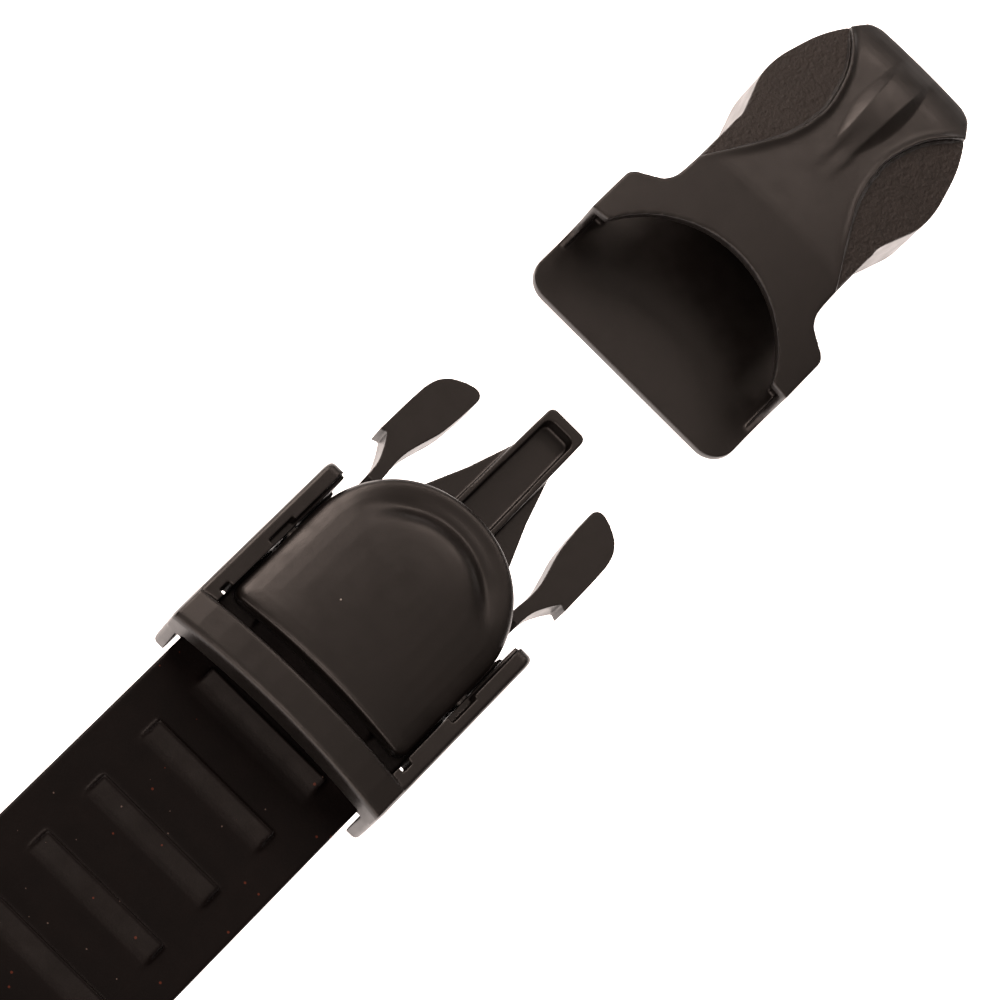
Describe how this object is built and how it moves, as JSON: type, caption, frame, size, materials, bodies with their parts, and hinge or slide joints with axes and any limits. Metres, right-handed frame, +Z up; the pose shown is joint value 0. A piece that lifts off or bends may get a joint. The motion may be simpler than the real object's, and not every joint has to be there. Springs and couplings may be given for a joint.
{
  "type": "strap side-release buckle",
  "caption": "Plastic side-release buckle with a thumb-lever strap slider on a ribbed rubber strap and an eared socket that snaps over barbed latch arms.",
  "frame": {"origin": "on the underside of the strap's lower layer, below the middle of the slider's rear face", "axes": "+X along the buckle from the strap to the socket, +Y to the left across the strap, +Z up, out of the lever's face"},
  "size_m": [0.171, 0.029, 0.0136],
  "materials": {
    "black_nylon": "satin injection-moulded black plastic",
    "strap_rubber": "matte moulded black rubber",
    "grained_panel": "fine leather-grain moulded black plastic",
    "steel": "plain ground stainless steel",
    "bush_plastic": "matte dark plastic"
  },
  "bodies": {
    "slider": {"slider_frame": "black_nylon", "strap": "strap_rubber", "strap_bar": "steel", "lever_axle": "steel", "lever_spring": "steel"},
    "lever": {"thumb_lever": "black_nylon"},
    "left_arm": {"latch_arm_left": "black_nylon"},
    "right_arm": {"latch_arm_right": "black_nylon"},
    "socket": {"socket_shell": "black_nylon", "grip_panel_left": "grained_panel", "grip_panel_right": "grained_panel", "post_bush": "bush_plastic"}
  },
  "joints": [
    {"name": "lever_press", "type": "hinge", "parent": "slider", "child": "lever", "pos_m": [0.0172, 0, 0.0076], "axis": [0, 1, 0], "range_deg": [0, 8], "stiffness_Nm_per_rad": 0.03, "springref_deg": -17.19, "deforming": ["lever_spring"]},
    {"name": "left_arm_flex", "type": "hinge", "parent": "slider", "child": "left_arm", "pos_m": [0.0238, 0.0104, 0.0064], "axis": [0, 0, -1], "range_deg": [0, 7], "stiffness_Nm_per_rad": 0.4},
    {"name": "right_arm_flex", "type": "hinge", "parent": "slider", "child": "right_arm", "pos_m": [0.0238, -0.0104, 0.0064], "axis": [0, 0, 1], "range_deg": [0, 7], "stiffness_Nm_per_rad": 0.4},
    {"name": "socket_slide", "type": "slide", "parent": "slider", "child": "socket", "axis": [1, 0, 0], "range_m": [-0.0422, 0], "deforming": ["latch_arm_left", "latch_arm_right"]}
  ]
}
